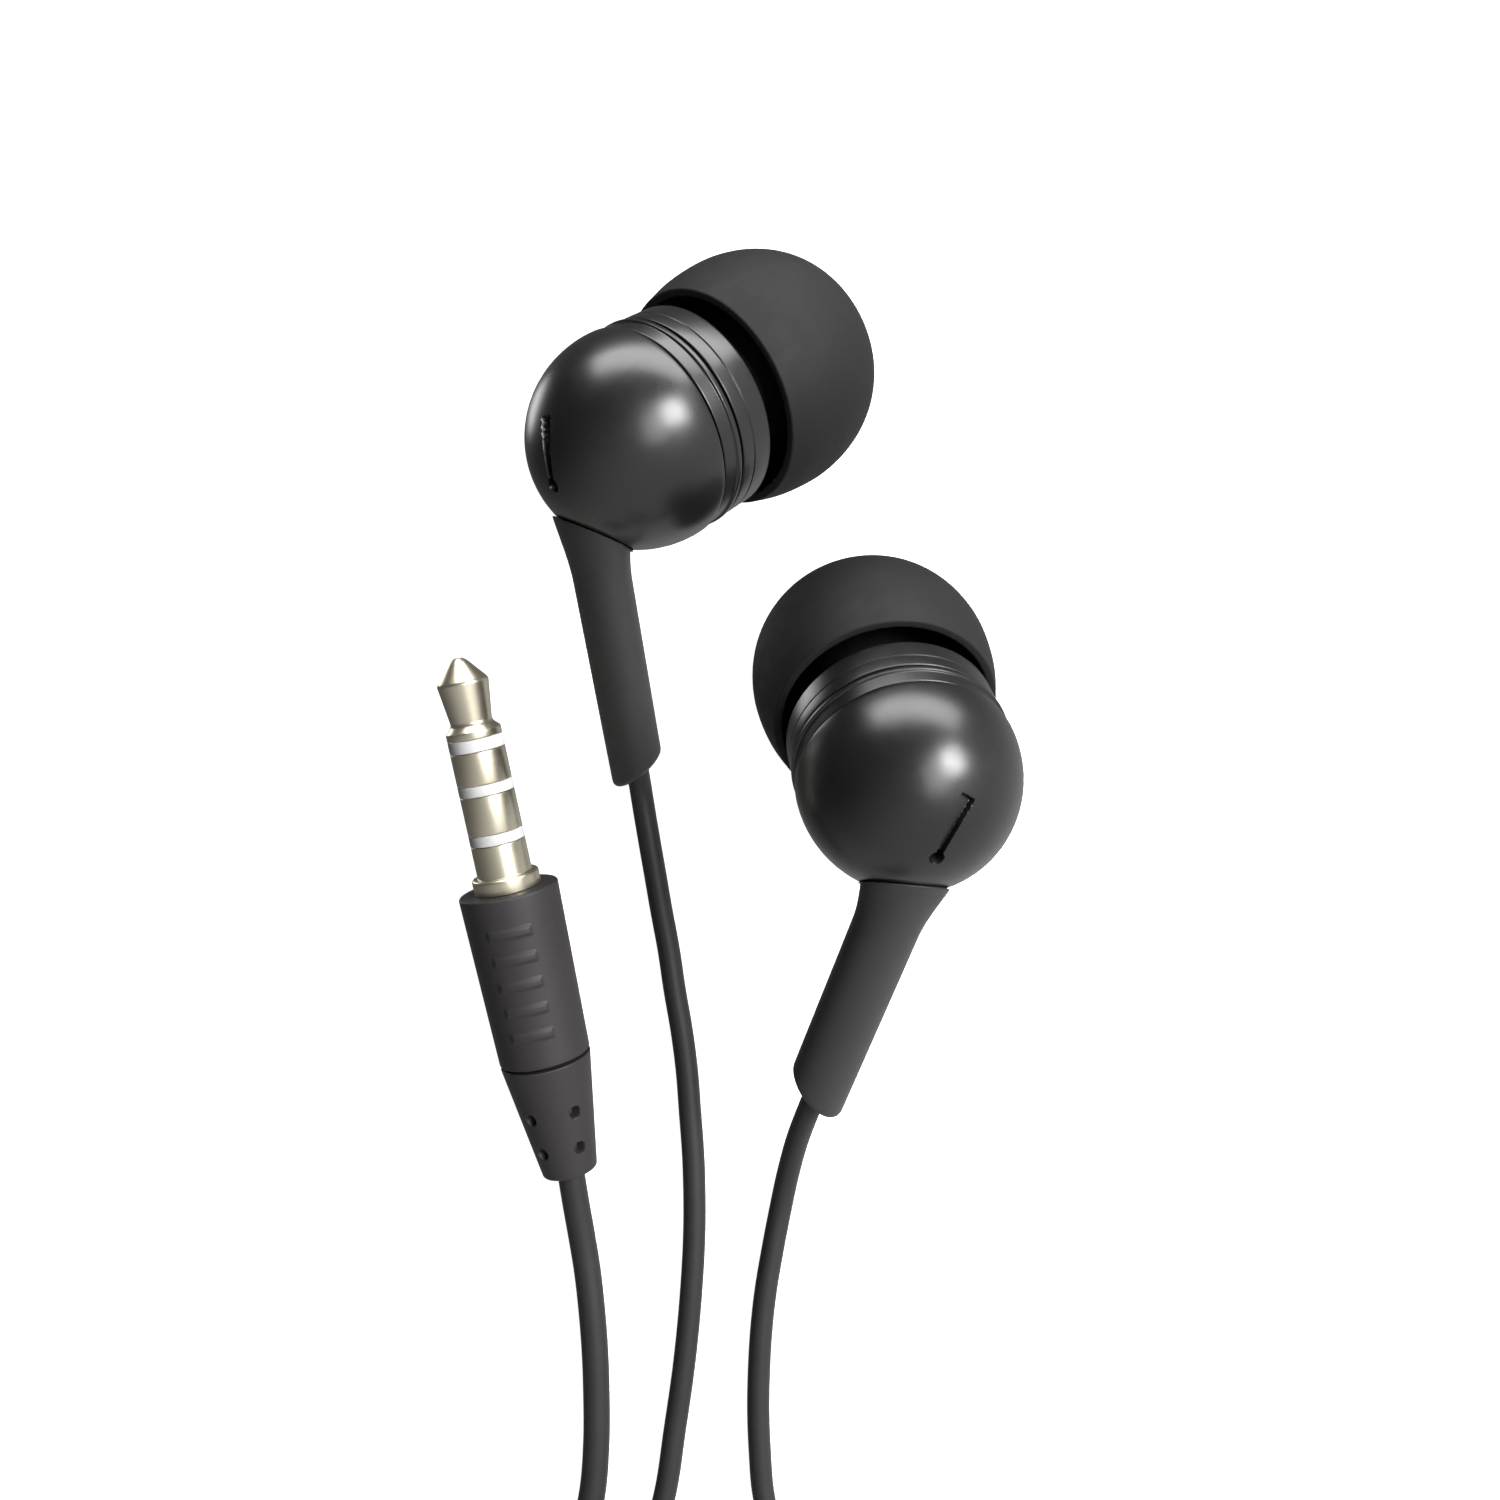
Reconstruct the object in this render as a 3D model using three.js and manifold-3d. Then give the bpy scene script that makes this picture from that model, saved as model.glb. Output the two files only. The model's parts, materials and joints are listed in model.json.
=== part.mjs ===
// Wired in-ear earphones with an in-line microphone remote and a four-pole jack plug.
// Millimetres, +Z up. The set lies on a table at z = 0: both earbuds rest on their ear tips,
// the plug rests on its tapered boot, and the spare cord is wound into three flat coils.
import * as THREE from 'three';
import { mergeVertices } from 'three/addons/utils/BufferGeometryUtils.js';
import Module from 'manifold-3d';

const wasm = await Module();
wasm.setup();

// ---------------------------------------------------------------- driving sizes
const BAND_R = 6.4; // widest band of an earbud's housing, and the earbud's unit of size
const SEAM_GAP = 0.2; // between neighbouring pieces of one housing
const WALL = 0.9; // moulded shell wall

const DOME_CENTRE = -0.31 * BAND_R; // along the nozzle's axis, 0 at the groove in front of the trim ring
const DOME_R = 1.015 * BAND_R; // across the axis
const DOME_DEPTH = 1.07 * BAND_R; // along the axis, so the back is slightly egg-shaped
const REAR_SEAM = -0.23 * BAND_R;
const FRONT_EDGE = 0.39 * BAND_R;

const NOZZLE_R = 2.5;
const NOZZLE_BORE_R = 1.95;
const NOZZLE_END = 9.9;
const BARB_R = 2.85;

const TIP_BORE_R = 3.0;
const TIP_HOLE_R = 2.2;
const TIP_TUBE_R = 3.9;
const TIP_RIM = 0.6 * BAND_R;
const TIP_RIM_R = 1.06 * BAND_R;
const TIP_WIDEST = 1.2 * BAND_R;
const TIP_WIDEST_R = 1.16 * BAND_R;
const TIP_FRONT = 2.2 * BAND_R;

// The vent's middle line on the back of the dome, from its hole, as shares of the dome's radius.
const VENT_LINE = [[0.005, -0.01], [0.027, 0.168], [0.073, 0.36], [0.145, 0.532]];

const STEM_X = -1.03 * BAND_R; // where the stem's centreline crosses the nozzle's axis
const STEM_LENGTH = 22.0;
const STEM_HALF = [1.55, 2.05]; // along and across the nozzle's axis
const STEM_FLARE = [0.55, 0.95]; // added at the root
const STEM_CUT = [0.415, 0.7]; // slope of the cut end

const BRANCH_D = 1.5; // cord from the remote to an earbud
const TRUNK_D = 1.8; // cord from the plug to the remote

const JACK_R = 1.75; // 3.5 mm jack
const JACK_LENGTH = 14; // from the collar's front face
const JACK_GAP = 0.1;
const COLLAR_R = 2.15;
const COLLAR_END = 1.0;
const SLEEVE_END = 3.1;
const JACK_BANDS = [0.7, 2.5, 0.7, 2.1, 0.8]; // insulator, ring, insulator, ring, insulator
const BOOT_FRONT_R = 3.2;
const BOOT_BACK_R = 2.95;
const BOOT_LENGTH = 11.3;
const TAPER_END_R = 1.8;
const TAPER_LENGTH = 7.8;

const REMOTE_LENGTH = 20;
const REMOTE_HALF_WIDTH = 3;
const REMOTE_HEIGHT = 4.4;
const BUTTON_TRAVEL = 0.25;

// ---------------------------------------------------------------- places on the table
const EARBUDS = {
  left: { at: [-6.4, 15.2], axis: [0.673, 0.504, -0.542], stem: [0.08, -0.798, -0.597], side: 1 },
  right: { at: [7.4, -4.4], axis: [-0.145, 0.617, -0.774], stem: [-0.25, -0.774, -0.582], side: -1 },
};
const PLUG_SEAM_AT = [-14.6, -24.1]; // axis point at the seam between boot and taper
const PLUG_HEADING = 10.96; // degrees, from +Y towards -X
const REMOTE_AT = [8.2, -121.1]; // centre of the remote

// ---------------------------------------------------------------- materials
const finish = (color, roughness, metalness = 0) => () =>
  new THREE.MeshStandardMaterial({ color, roughness, metalness });
const glossBlack = finish(0x2b2b2c, 0.28);
const softBlack = finish(0x3a3a3b, 0.62);
const silicone = finish(0x37383a, 0.7);
const nickel = finish(0xd8cfb8, 0.25, 1);
const steel = finish(0xb5b5b5, 0.35, 1);
const white = finish(0xf2f2ee, 0.5);
const copper = finish(0xb87333, 0.4, 1);
const film = finish(0xc9c2a8, 0.3);
const board = finish(0x1f5c3a, 0.6);

// ---------------------------------------------------------------- shape helpers
const group = new THREE.Group();

function add(parent, name, geometry, material) {
  const mesh = new THREE.Mesh(geometry, material());
  mesh.name = name;
  parent.add(mesh);
  return mesh;
}

// A solid of revolution about +X. The profile is a list of [along, radius], outer wall forwards.
function turned(profile, sides = 32) {
  const points = profile.map(([along, radius]) => new THREE.Vector2(radius, along));
  return new THREE.LatheGeometry(points, sides).rotateZ(-Math.PI / 2);
}

const disc = (from, to, radius, sides) =>
  turned([[from, 0], [from, radius], [to, radius], [to, 0]], sides);

const ring = (from, to, inner, outer, sides) =>
  turned([[from, inner], [from, outer], [to, outer], [to, inner], [from, inner]], sides);

// A round rod between two points.
function rod(start, end, radius, sides = 16) {
  const a = new THREE.Vector3(...start);
  const b = new THREE.Vector3(...end);
  const geometry = new THREE.CylinderGeometry(radius, radius, a.distanceTo(b), sides);
  const along = b.clone().sub(a).normalize();
  const turn = new THREE.Quaternion().setFromUnitVectors(new THREE.Vector3(0, 1, 0), along);
  return geometry.applyQuaternion(turn).translate(...a.add(b).multiplyScalar(0.5).toArray());
}

function toSolid(geometry) {
  const bare = geometry.clone();
  bare.deleteAttribute('normal');
  bare.deleteAttribute('uv');
  const merged = mergeVertices(bare, 1e-4);
  const corners = merged.index.array;
  const kept = [];
  for (let i = 0; i < corners.length; i += 3) {
    const [a, b, c] = corners.slice(i, i + 3);
    if (a !== b && b !== c && c !== a) kept.push(a, b, c);
  }
  const vertProperties = new Float32Array(merged.attributes.position.array);
  return new wasm.Manifold(new wasm.Mesh({ numProp: 3, vertProperties, triVerts: new Uint32Array(kept) }));
}

function toGeometry(solid) {
  const { vertProperties, triVerts } = solid.getMesh();
  const geometry = new THREE.BufferGeometry();
  geometry.setAttribute('position', new THREE.BufferAttribute(new Float32Array(vertProperties), 3));
  geometry.setIndex(new THREE.BufferAttribute(new Uint32Array(triVerts), 1));
  return geometry;
}

function cut(geometry, ...tools) {
  const solid = tools.reduce((left, tool) => left.subtract(toSolid(tool)), toSolid(geometry));
  return toGeometry(solid);
}

// A tube of eight sides along a smooth curve through the points.
function tube(points, diameter) {
  const curve = new THREE.CatmullRomCurve3(points.map((p) => new THREE.Vector3(...p)));
  const section = new THREE.Shape();
  for (let i = 0; i < 8; i += 1) {
    const angle = (i / 8) * 2 * Math.PI;
    const x = (diameter / 2) * Math.cos(angle);
    const y = (diameter / 2) * Math.sin(angle);
    if (i === 0) section.moveTo(x, y);
    else section.lineTo(x, y);
  }
  const steps = Math.max(3, Math.round(curve.getLength() / (2.5 * diameter)));
  return new THREE.ExtrudeGeometry(section, { steps, extrudePath: curve });
}

// A box with rounded vertical edges, from z = low to z = high.
function slab(halfX, halfY, low, high, radius) {
  const shape = new THREE.Shape();
  shape.moveTo(halfX, -halfY + radius);
  shape.absarc(halfX - radius, halfY - radius, radius, 0, Math.PI / 2);
  shape.absarc(-halfX + radius, halfY - radius, radius, Math.PI / 2, Math.PI);
  shape.absarc(-halfX + radius, -halfY + radius, radius, Math.PI, 1.5 * Math.PI);
  shape.absarc(halfX - radius, -halfY + radius, radius, 1.5 * Math.PI, 2 * Math.PI);
  const options = { depth: high - low, bevelEnabled: false, curveSegments: 4 };
  return new THREE.ExtrudeGeometry(shape, options).translate(0, 0, low);
}

// ---------------------------------------------------------------- earbud
// Own frame: +X along the nozzle to the ear tip, stem along -Z, groove of the band at x = 0.
// Points of the dome's meridian, from the back pole to the given place along the axis.
function domeArc(r, depth, end, count) {
  const last = Math.acos((DOME_CENTRE - end) / depth);
  return Array.from({ length: count + 1 }, (_, i) => {
    const angle = (last * i) / count;
    return [DOME_CENTRE - depth * Math.cos(angle), r * Math.sin(angle)];
  });
}

// The place on the dome seen from its centre in the direction (y, z), both as shares of its radius.
function onDome(y, z, lift) {
  const x = DOME_CENTRE - DOME_DEPTH * Math.sqrt(1 - y * y - z * z);
  return [x - lift, y * DOME_R, z * DOME_R];
}

function rearShell(side) {
  const edge = REAR_SEAM - SEAM_GAP / 2;
  const outer = domeArc(DOME_R, DOME_DEPTH, edge - 0.3, 9);
  const inner = domeArc(DOME_R - WALL, DOME_DEPTH - WALL, edge, 5).reverse();
  const cup = turned([...outer, [edge, 0.98 * BAND_R], ...inner], 28);
  const [holeY, holeZ] = VENT_LINE[0];
  const hole = rod(onDome(holeY * side, holeZ, 1), onDome(holeY * side, holeZ, -2), 0.4, 12);
  const slot = ventSlot(side);
  const cordHole = rod([STEM_X, 0, -1.8], [STEM_X, 0, -7], 1.0, 12);
  return cut(cup, hole, slot, cordHole);
}

// A narrow channel, half a millimetre deep, from the vent hole towards the top of the dome.
function ventSlot(side) {
  const path = new THREE.CatmullRomCurve3(
    VENT_LINE.map(([y, z]) => new THREE.Vector3(...onDome(y * side, z, -0.1))),
  );
  const section = new THREE.Shape();
  section.moveTo(-0.55, -0.22);
  section.lineTo(0.55, -0.22);
  section.lineTo(0.55, 0.22);
  section.lineTo(-0.55, 0.22);
  return new THREE.ExtrudeGeometry(section, { steps: 6, extrudePath: path });
}

function trimRing() {
  const back = REAR_SEAM + SEAM_GAP / 2;
  const front = -SEAM_GAP / 2;
  const inner = BAND_R - WALL;
  return turned([
    [back, inner], [back, 0.98 * BAND_R], [-0.45, 0.99 * BAND_R], [-0.35, BAND_R],
    [front, BAND_R], [front, inner], [back, inner],
  ], 28);
}

function frontHousing() {
  const back = SEAM_GAP / 2;
  const inner = BAND_R - WALL;
  return turned([
    [back, inner], [back, 0.995 * BAND_R], [FRONT_EDGE - 0.3, 0.99 * BAND_R], [FRONT_EDGE, 0.95 * BAND_R],
    [3.2, 4.2], [3.6, NOZZLE_R], [8.0, NOZZLE_R], [8.2, BARB_R], [9.0, BARB_R], [NOZZLE_END, NOZZLE_R - 0.1],
    [NOZZLE_END, NOZZLE_BORE_R], [2.9, NOZZLE_BORE_R], [2.0, 4.6], [1.6, inner], [back, inner],
  ], 28);
}

// The skirt runs from its thin rim out over the widest place and in to the front hole.
function earTipProfile() {
  const front = [];
  const steps = 5;
  for (let i = 1; i <= steps; i += 1) {
    const angle = (i / steps) * 0.94 * (Math.PI / 2);
    const along = TIP_WIDEST + (TIP_FRONT - TIP_WIDEST) * Math.sin(angle);
    const radius = 2.6 + (TIP_WIDEST_R - 2.6) * Math.cos(angle) ** 0.9;
    front.push([along, radius]);
  }
  return [
    [TIP_RIM, TIP_RIM_R], [5.6, 1.13 * BAND_R], [TIP_WIDEST, TIP_WIDEST_R], ...front,
    [TIP_FRONT, TIP_HOLE_R + 0.4], [TIP_FRONT - 0.3, TIP_HOLE_R],
  ];
}

function earTip() {
  const skirtInner = [
    [12.0, 4.6], [11.2, 5.6], [9.6, 6.3], [TIP_WIDEST, 6.6], [5.6, 6.5], [TIP_RIM, TIP_RIM_R - 0.5],
  ];
  return turned([
    ...earTipProfile(), [10.6, TIP_HOLE_R], [10.3, TIP_BORE_R], [4.6, TIP_BORE_R], [4.6, TIP_TUBE_R],
    [11.4, TIP_TUBE_R], ...skirtInner, [TIP_RIM, TIP_RIM_R],
  ], 24);
}

// The stem is an oval rod that flares into the dome and ends in a slanted, rounded cut.
function strainRelief(side) {
  const rows = 10;
  const stem = new THREE.CylinderGeometry(1, 1, 1, 18, rows).rotateX(Math.PI / 2);
  const place = stem.attributes.position;
  const top = -1;
  for (let i = 0; i < place.count; i += 1) {
    const down = 0.5 - place.getZ(i);
    const rounding = down > 0.999 ? 0.8 : 1;
    const z = top - (STEM_LENGTH + top) * down ** 1.15;
    const flare = 0.5 + 0.5 * Math.cos(Math.PI * Math.min(1, Math.max(0, (-z - 1.5) / 6)));
    const x = place.getX(i) * (STEM_HALF[0] + STEM_FLARE[0] * flare) * rounding;
    const y = place.getY(i) * (STEM_HALF[1] + STEM_FLARE[1] * flare) * rounding;
    const slant = (STEM_CUT[0] * x - STEM_CUT[1] * y * side) * down ** 3;
    place.setXYZ(i, STEM_X + x, y, z + slant);
  }
  const dome = new THREE.SphereGeometry(1, 24, 16);
  dome.scale(DOME_DEPTH + SEAM_GAP, DOME_R + SEAM_GAP, DOME_R + SEAM_GAP).translate(DOME_CENTRE, 0, 0);
  return cut(stem, dome);
}

const driverFrame = () => turned([
  [-2.4, 3.3], [-2.4, 5.25], [1.3, 5.25], [1.3, 4.75], [-1.0, 4.75], [-1.0, 3.3], [-2.4, 3.3],
], 16);

const yoke = () => turned([[-3.4, 0], [-3.4, 3.1], [-0.9, 3.1], [-0.9, 2.75], [-2.8, 2.75], [-2.8, 0]], 14);

const diaphragm = () => turned([
  [0.35, 0], [0.0, 2.3], [0.0, 2.7], [0.35, 3.6], [0.1, 4.5],
  [0.25, 4.5], [0.5, 3.6], [0.15, 2.6], [0.5, 0],
], 14);

// Height of an earbud's origin at which its ear tip just meets the table.
function restingHeight(axis) {
  const across = Math.sqrt(1 - axis.z ** 2);
  return Math.max(...earTipProfile().map(([along, radius]) => radius * across - along * axis.z));
}

function earbud(name, { at, axis, stem, side }) {
  const forward = new THREE.Vector3(...axis).normalize();
  const down = new THREE.Vector3(...stem);
  down.addScaledVector(forward, -down.dot(forward)).normalize();
  const up = down.clone().negate();
  const across = new THREE.Vector3().crossVectors(up, forward);
  const place = new THREE.Group();
  place.setRotationFromMatrix(new THREE.Matrix4().makeBasis(forward, across, up));
  place.position.set(...at, restingHeight(forward));
  add(place, `${name}_rear_shell`, rearShell(side), glossBlack);
  add(place, `${name}_trim_ring`, trimRing(), glossBlack);
  add(place, `${name}_front_housing`, frontHousing(), glossBlack);
  add(place, `${name}_nozzle_mesh`, disc(9.1, 9.4, NOZZLE_BORE_R - 0.15, 12), steel);
  add(place, `${name}_ear_tip`, earTip(), silicone);
  add(place, `${name}_strain_relief`, strainRelief(side), softBlack);
  add(place, `${name}_driver_frame`, driverFrame(), softBlack);
  add(place, `${name}_yoke`, yoke(), steel);
  add(place, `${name}_magnet`, disc(-2.6, -1.5, 2.15, 14), steel);
  add(place, `${name}_top_plate`, disc(-1.3, -0.9, 2.2, 14), steel);
  add(place, `${name}_voice_coil`, ring(-1.6, -0.2, 2.35, 2.58, 14), copper);
  add(place, `${name}_diaphragm`, diaphragm(), film);
  const terminals = new THREE.BoxGeometry(0.35, 5.6, 3.2).translate(-3.75, 0, 0);
  add(place, `${name}_terminal_board`, terminals, board);
  const knot = new THREE.TorusGeometry(0.9, 0.5, 6, 10).translate(-5.9, 0, -1.2);
  add(place, `${name}_cord_knot`, knot, softBlack);
  return place;
}

for (const [name, settings] of Object.entries(EARBUDS)) group.add(earbud(name, settings));

// ---------------------------------------------------------------- jack plug
// Own frame: +X towards the jack's tip, the boot's front face at x = 0.
function plug() {
  const place = new THREE.Group();
  add(place, 'plug_sleeve', turned([
    [0.1, 0], [0.1, COLLAR_R], [COLLAR_END, COLLAR_R],
    [COLLAR_END, JACK_R], [SLEEVE_END, JACK_R], [SLEEVE_END, 0],
  ], 20), nickel);
  let along = SLEEVE_END;
  JACK_BANDS.forEach((width, i) => {
    const number = Math.floor(i / 2) + 1;
    const [name, material] = i % 2 === 0 ? ['insulator', white] : ['ring', nickel];
    add(place, `plug_${name}_${number}`, disc(along + JACK_GAP, along + width, JACK_R, 20), material);
    along += width;
  });
  const tipEnd = COLLAR_END + JACK_LENGTH;
  add(place, 'plug_tip', turned([
    [along + JACK_GAP, 0], [along + JACK_GAP, JACK_R], [along + 0.5, JACK_R], [along + 0.9, 1.38],
    [tipEnd - 1.55, 1.6], [tipEnd - 1.3, 1.55], [tipEnd - 0.25, 0.62], [tipEnd, 0.3], [tipEnd, 0],
  ], 20), nickel);
  const taperStart = -BOOT_LENGTH - SEAM_GAP;
  add(place, 'plug_boot', turned([
    [-BOOT_LENGTH, 0], [-BOOT_LENGTH, BOOT_BACK_R], [-0.3, BOOT_FRONT_R], [0, BOOT_FRONT_R - 0.3], [0, 0],
  ], 20), softBlack);
  add(place, 'plug_strain_relief', turned([
    [taperStart - TAPER_LENGTH, 0], [taperStart - TAPER_LENGTH, TAPER_END_R],
    [taperStart, BOOT_BACK_R], [taperStart, 0],
  ], 20), softBlack);
  return place;
}

// The plug lies on the taper's lowest line, so its jack points slightly up.
const plugPlace = plug();
const plugTilt = Math.atan((BOOT_BACK_R - TAPER_END_R) / TAPER_LENGTH);
const plugHeading = THREE.MathUtils.degToRad(PLUG_HEADING);
const plugAxis = new THREE.Vector3(
  -Math.sin(plugHeading) * Math.cos(plugTilt),
  Math.cos(plugHeading) * Math.cos(plugTilt),
  Math.sin(plugTilt),
);
const plugAcross = new THREE.Vector3(0, 0, 1).cross(plugAxis).normalize();
const plugUp = new THREE.Vector3().crossVectors(plugAxis, plugAcross);
plugPlace.setRotationFromMatrix(new THREE.Matrix4().makeBasis(plugAxis, plugAcross, plugUp));
plugPlace.position.set(...PLUG_SEAM_AT, BOOT_BACK_R * Math.cos(plugTilt));
plugPlace.position.addScaledVector(plugAxis, BOOT_LENGTH + SEAM_GAP);
group.add(plugPlace);

// ---------------------------------------------------------------- remote
// It joins the two branch cords to the trunk cord, and lies on its flat back.
function remote() {
  const place = new THREE.Group();
  const half = REMOTE_LENGTH / 2;
  const middle = REMOTE_HEIGHT / 2;
  const wall = 0.7;
  const corner = 2.2;
  const innerX = REMOTE_HALF_WIDTH - wall;
  const innerY = half - 1.6;
  const back = cut(
    slab(REMOTE_HALF_WIDTH, half, 0, middle - SEAM_GAP / 2, corner),
    slab(innerX, innerY, wall, middle + 1, 1.5),
  );
  const buttonWindow = slab(1.5, 3.5, middle, REMOTE_HEIGHT + 1, 1.2);
  const microphoneHole = rod([0, 6.3, middle], [0, 6.3, REMOTE_HEIGHT + 1], 0.4, 10);
  const front = cut(
    slab(REMOTE_HALF_WIDTH, half, middle + SEAM_GAP / 2, REMOTE_HEIGHT, corner),
    slab(innerX, innerY, middle - 1, REMOTE_HEIGHT - wall, 1.5),
    buttonWindow,
    microphoneHole,
  );
  add(place, 'remote_back_shell', back, softBlack);
  add(place, 'remote_front_shell', front, softBlack);
  const flangeTop = REMOTE_HEIGHT - wall - SEAM_GAP;
  const cap = toSolid(slab(1.3, 3.3, flangeTop - 0.2, REMOTE_HEIGHT + 0.3, 1.1));
  const flange = toSolid(slab(1.8, 3.8, flangeTop - 0.5, flangeTop, 1.2));
  add(place, 'remote_button', toGeometry(cap.add(flange)), glossBlack);
  const boardTop = 1.5;
  add(place, 'remote_circuit_board', slab(1.9, 7.6, boardTop - 0.6, boardTop, 0.4), board);
  const switchTop = flangeTop - 0.5 - BUTTON_TRAVEL - 0.1;
  add(place, 'remote_switch', slab(1.2, 1.2, boardTop + 0.1, switchTop, 0.2), steel);
  const microphone = new THREE.CylinderGeometry(1.1, 1.1, 1.1, 16).rotateX(Math.PI / 2);
  add(place, 'remote_microphone', microphone.translate(0, 6.3, boardTop + 0.7), steel);
  return place;
}

const remotePlace = remote();
remotePlace.position.set(...REMOTE_AT, 0);
group.add(remotePlace);

// ---------------------------------------------------------------- cords
// Each free stretch is a tube along points chosen by hand, and each coil is one solid ring.
// The four-pole plug's trunk cord is about 0.88 m long and each branch cord about 0.36 m.
const COILS = {
  left_coil: { at: [-4.4, -68.6], inner: 4.75, outer: 10.25, height: 3.1 },
  right_coil: { at: [-1.3, -90.8], inner: 5.85, outer: 11.35, height: 3.1 },
  trunk_coil: { at: [-4.7, -145.1], inner: 6.55, outer: 13.8, height: 7.3 },
};

const LEFT_CORD = [
  [-8.66, -5.76, 1.58], [-8.55, -6.6, 1.12], [-8.35, -8.0, 0.82], [-8.0, -10.1, 0.75], [-7.65, -12.1, 0.75],
  [-7.2, -14.7, 0.75], [-6.7, -17.4, 0.75], [-6.3, -20.1, 0.75], [-5.85, -22.7, 0.75], [-5.5, -25.4, 0.75],
  [-5.3, -28.0, 0.75], [-5.05, -31.6, 0.75], [-5.0, -36.0, 0.75], [-5.25, -40.6, 0.75], [-5.7, -45.1, 0.75],
  [-6.3, -49.3, 0.75], [-6.9, -53.3, 0.75], [-7.7, -56.1, 0.75], [-8.9, -58.2, 0.75],
];

const LEFT_CORD_LOWER = [
  [-13.9, -74.8, 1.3], [-13.9, -78.5, 0.85], [-13.9, -84.0, 0.77], [-13.9, -90.0, 0.75],
  [-13.8, -95.0, 0.75], [-13.2, -99.3, 0.75], [-11.2, -102.6, 0.75], [-7.3, -104.6, 0.75],
  [-2.3, -105.0, 0.77], [1.7, -104.7, 0.78], [4.8, -105.5, 0.8], [6.7, -107.8, 1.4],
  [7.2, -110.8, 2.2],
];

const RIGHT_CORD = [
  [2.73, -26.12, 5.53], [2.39, -27.2, 4.74], [2.06, -28.3, 3.93], [1.72, -29.6, 2.98], [1.42, -31.0, 2.05],
  [1.12, -32.5, 1.32], [0.78, -34.3, 0.88], [0.3, -36.8, 0.75], [-0.25, -40.0, 0.75], [-0.55, -42.7, 0.75],
  [-0.7, -45.3, 0.75], [-0.75, -48.0, 0.75], [-0.65, -50.7, 0.75], [-0.4, -53.6, 0.75], [0.4, -56.6, 0.75],
  [2.3, -59.3, 0.75], [4.9, -61.9, 0.75], [6.5, -64.9, 0.75], [7.3, -68.6, 0.75], [7.8, -73.1, 0.75],
  [8.6, -78.1, 0.75], [9.3, -84.4, 0.75],
];

const RIGHT_CORD_LOWER = [
  [9.3, -97.2, 1.3], [9.3, -101.0, 0.85], [9.25, -105.0, 0.9], [9.2, -108.0, 1.5], [9.2, -110.8, 2.2],
];

const TRUNK_CORD = [
  [-13.08, -31.97, 1.74], [-12.8, -34.0, 1.42], [-12.45, -36.3, 1.08], [-12.1, -38.6, 0.92],
  [-11.8, -41.3, 0.9], [-11.6, -43.9, 0.9], [-11.5, -46.6, 0.9], [-11.5, -50.0, 0.9],
  [-11.8, -53.6, 0.9], [-12.8, -57.6, 0.9], [-14.6, -62.2, 0.9], [-16.0, -67.1, 0.9],
  [-16.4, -74.1, 0.9], [-16.4, -84.1, 0.9], [-16.4, -94.1, 0.9], [-16.4, -104.1, 0.9],
  [-16.6, -114.1, 0.9], [-17.1, -124.1, 0.9], [-17.5, -131.1, 0.9], [-17.6, -137.4, 0.9],
];

const TRUNK_CORD_UPPER = [[8.2, -137.4, 4.2], [8.2, -135.4, 3.3], [8.2, -133.4, 2.5], [8.2, -131.4, 2.2]];

const STRETCHES = {
  left_cord: [LEFT_CORD, BRANCH_D],
  left_cord_lower: [LEFT_CORD_LOWER, BRANCH_D],
  right_cord: [RIGHT_CORD, BRANCH_D],
  right_cord_lower: [RIGHT_CORD_LOWER, BRANCH_D],
  trunk_cord: [TRUNK_CORD, TRUNK_D],
  trunk_cord_upper: [TRUNK_CORD_UPPER, TRUNK_D],
};

for (const [name, [points, diameter]] of Object.entries(STRETCHES)) {
  add(group, name, tube(points, diameter), softBlack);
}

for (const [name, { at, inner, outer, height }] of Object.entries(COILS)) {
  const points = [[inner, 0], [outer, 0], [outer, height], [inner, height], [inner, 0]];
  const coil = new THREE.LatheGeometry(points.map(([x, y]) => new THREE.Vector2(x, y)), 24);
  add(group, name, coil.rotateX(Math.PI / 2).translate(...at, 0), softBlack);
}

export default group;
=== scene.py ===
"""Wired in-ear earphones lying on a white table: two earbuds, a four-pole jack plug, a microphone
remote, and the spare cord wound into three flat coils.

Shapes are worked out in millimetres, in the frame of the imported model, and go into each mesh in metres."""
import json
import math

import bmesh
import bpy
import numpy as np
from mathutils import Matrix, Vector


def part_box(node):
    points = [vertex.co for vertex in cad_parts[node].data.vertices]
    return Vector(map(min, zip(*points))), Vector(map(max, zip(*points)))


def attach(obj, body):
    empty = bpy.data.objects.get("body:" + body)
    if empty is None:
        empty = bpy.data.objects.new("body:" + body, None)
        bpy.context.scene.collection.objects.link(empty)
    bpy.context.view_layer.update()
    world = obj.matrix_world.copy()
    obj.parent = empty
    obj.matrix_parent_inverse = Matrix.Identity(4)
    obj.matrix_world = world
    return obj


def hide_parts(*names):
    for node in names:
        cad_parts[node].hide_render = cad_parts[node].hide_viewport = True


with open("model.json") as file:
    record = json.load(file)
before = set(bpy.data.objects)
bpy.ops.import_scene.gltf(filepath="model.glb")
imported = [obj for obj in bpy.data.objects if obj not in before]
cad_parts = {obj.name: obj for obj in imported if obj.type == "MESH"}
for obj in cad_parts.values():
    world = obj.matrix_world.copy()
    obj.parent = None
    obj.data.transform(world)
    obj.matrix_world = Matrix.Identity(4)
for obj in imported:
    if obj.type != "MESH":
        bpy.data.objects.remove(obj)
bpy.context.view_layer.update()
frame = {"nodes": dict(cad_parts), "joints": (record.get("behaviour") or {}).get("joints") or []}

MM = 0.001
JOINTS = {joint["name"]: joint for joint in frame["joints"]}


# ---------------------------------------------------------------- camera
CAMERA_AT = (-1.3, -4.1)  # straight above this point of the table
CAMERA_HEIGHT = 100.5
FIELD = 36.0  # lens and sensor are alike, so the view is as wide as the camera is high


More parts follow.
